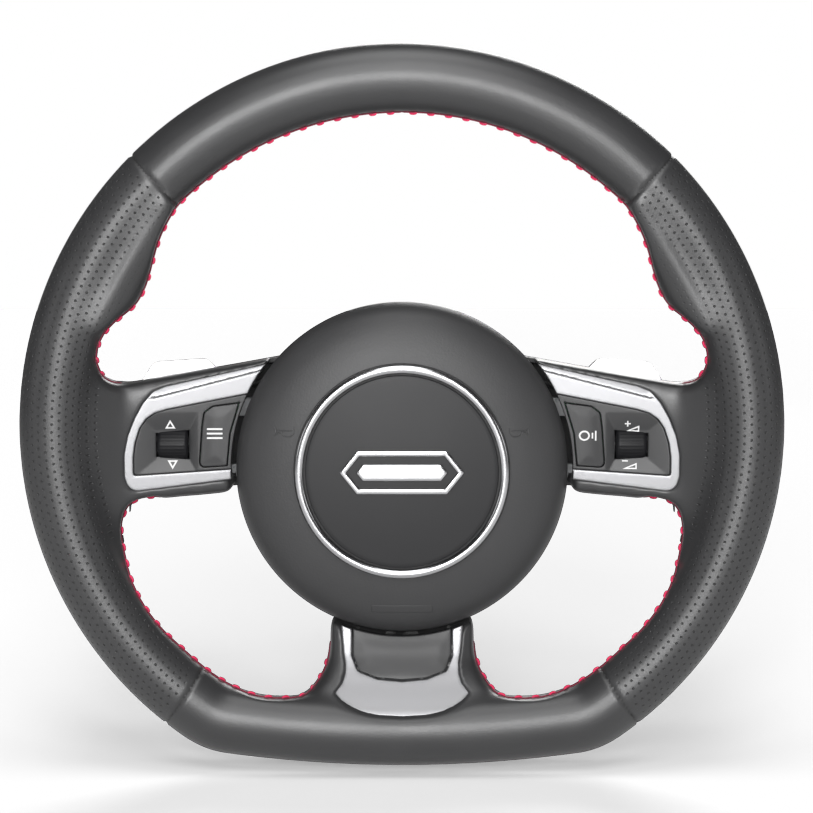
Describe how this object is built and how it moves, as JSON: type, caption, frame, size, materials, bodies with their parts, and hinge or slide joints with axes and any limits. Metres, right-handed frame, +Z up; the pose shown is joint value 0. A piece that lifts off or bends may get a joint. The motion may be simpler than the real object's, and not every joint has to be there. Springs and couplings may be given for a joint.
{
  "type": "steering wheel",
  "caption": "Flat-bottomed leather steering wheel with a pressing airbag module, switch panels with thumb rollers, and shift paddles behind the spokes.",
  "frame": {"origin": "on the steering column's axis, at mid-length of the hub bore", "axes": "+Z up with the wheel straight ahead, +X to the driver's right, +Y forwards along the column, away from the driver"},
  "size_m": [0.368, 0.085, 0.3484],
  "materials": {
    "leather": "smooth and perforated nappa leather",
    "thread": "crimson polyester thread",
    "foam": "moulded polyurethane foam",
    "frame_metal": "die-cast",
    "steel": "zinc plated",
    "dark_steel": "phosphated",
    "satin_trim": "satin silver paint",
    "black_plastic": "fine grain",
    "cover_plastic": "leather grain, soft touch",
    "panel_plastic": "smooth satin",
    "inner_plastic": "natural moulded",
    "board": "solder mask",
    "bright_ring": "bright chrome",
    "nylon": "natural nylon",
    "cushion_fabric": "coated nylon fabric",
    "brass_contact": "bare",
    "paddle_metal": "satin silver paint",
    "cable": "matte sheath"
  },
  "bodies": {
    "wheel": {"armature": "frame_metal", "hub_insert": "dark_steel", "rim_foam": "foam", "leather_top": "leather", "leather_left": "leather", "leather_right": "leather", "leather_bottom": "leather", "stitch_thread": "thread", "rear_cover": "black_plastic", "spoke_back_left": "black_plastic", "spoke_back_right": "black_plastic", "spoke_back_bottom": "black_plastic", "trim_left": "satin_trim", "trim_right": "satin_trim", "trim_bottom": "satin_trim", "trim_bottom_insert": "panel_plastic", "switch_panel_left": "panel_plastic", "switch_panel_right": "panel_plastic", "switch_housing_left": "inner_plastic", "switch_housing_right": "inner_plastic", "switch_board_left": "board", "switch_board_right": "board", "paddle_pins": "steel", "paddle_bracket_left": "steel", "paddle_bracket_right": "steel", "paddle_switches": "inner_plastic", "bracket_screws": "steel", "horn_springs": "steel", "horn_contacts": "brass_contact", "cover_screws": "steel", "trim_screws": "steel", "connectors": "nylon", "switch_leads": "cable"},
    "airbag_module": {"airbag_cover": "cover_plastic", "ring_trim": "bright_ring", "ring_disc": "panel_plastic", "emblem": "bright_ring", "airbag_can": "steel", "airbag_cushion": "cushion_fabric", "inflator": "steel", "inflator_nuts": "steel", "guide_posts": "steel", "post_rings": "dark_steel"},
    "mode_pad": {"mode_button": "panel_plastic"},
    "voice_pad": {"voice_button": "panel_plastic"},
    "roller_cradle_left": {"cradle_left": "inner_plastic"},
    "roller_cradle_right": {"cradle_right": "inner_plastic"},
    "thumb_roller_left": {"roller_left": "panel_plastic", "roller_axle_left": "steel"},
    "thumb_roller_right": {"roller_right": "panel_plastic", "roller_axle_right": "steel"},
    "shift_paddle_left": {"paddle_left": "paddle_metal"},
    "shift_paddle_right": {"paddle_right": "paddle_metal"}
  },
  "joints": [
    {"name": "horn_press", "type": "slide", "parent": "wheel", "child": "airbag_module", "axis": [0, 1, 0], "range_m": [0, 0.002], "stiffness_N_per_m": 7000, "springref_m": -0.003, "deforming": ["horn_springs"]},
    {"name": "mode_press", "type": "slide", "parent": "wheel", "child": "mode_pad", "axis": [0, 1, 0], "range_m": [0, 0.0008], "stiffness_N_per_m": 2500, "springref_m": -0.0008},
    {"name": "voice_press", "type": "slide", "parent": "wheel", "child": "voice_pad", "axis": [0, 1, 0], "range_m": [0, 0.0008], "stiffness_N_per_m": 2500, "springref_m": -0.0008},
    {"name": "roller_press_left", "type": "slide", "parent": "wheel", "child": "roller_cradle_left", "axis": [0, 1, 0], "range_m": [0, 0.0008], "stiffness_N_per_m": 3000, "springref_m": -0.0008},
    {"name": "roller_turn_left", "type": "hinge", "parent": "roller_cradle_left", "child": "thumb_roller_left", "pos_m": [-0.112, -0.04325, -0.0087], "axis": [1, 0, 0], "continuous": true},
    {"name": "roller_press_right", "type": "slide", "parent": "wheel", "child": "roller_cradle_right", "axis": [0, 1, 0], "range_m": [0, 0.0008], "stiffness_N_per_m": 3000, "springref_m": -0.0008},
    {"name": "roller_turn_right", "type": "hinge", "parent": "roller_cradle_right", "child": "thumb_roller_right", "pos_m": [0.112, -0.04325, -0.0087], "axis": [1, 0, 0], "continuous": true},
    {"name": "paddle_pull_left", "type": "hinge", "parent": "wheel", "child": "shift_paddle_left", "pos_m": [-0.062, 0, 0], "axis": [0, 0, 1], "range_deg": [0, 4], "stiffness_Nm_per_rad": 4, "springref_deg": -3.44},
    {"name": "paddle_pull_right", "type": "hinge", "parent": "wheel", "child": "shift_paddle_right", "pos_m": [0.062, 0, 0], "axis": [0, 0, -1], "range_deg": [0, 4], "stiffness_Nm_per_rad": 4, "springref_deg": -3.44}
  ]
}
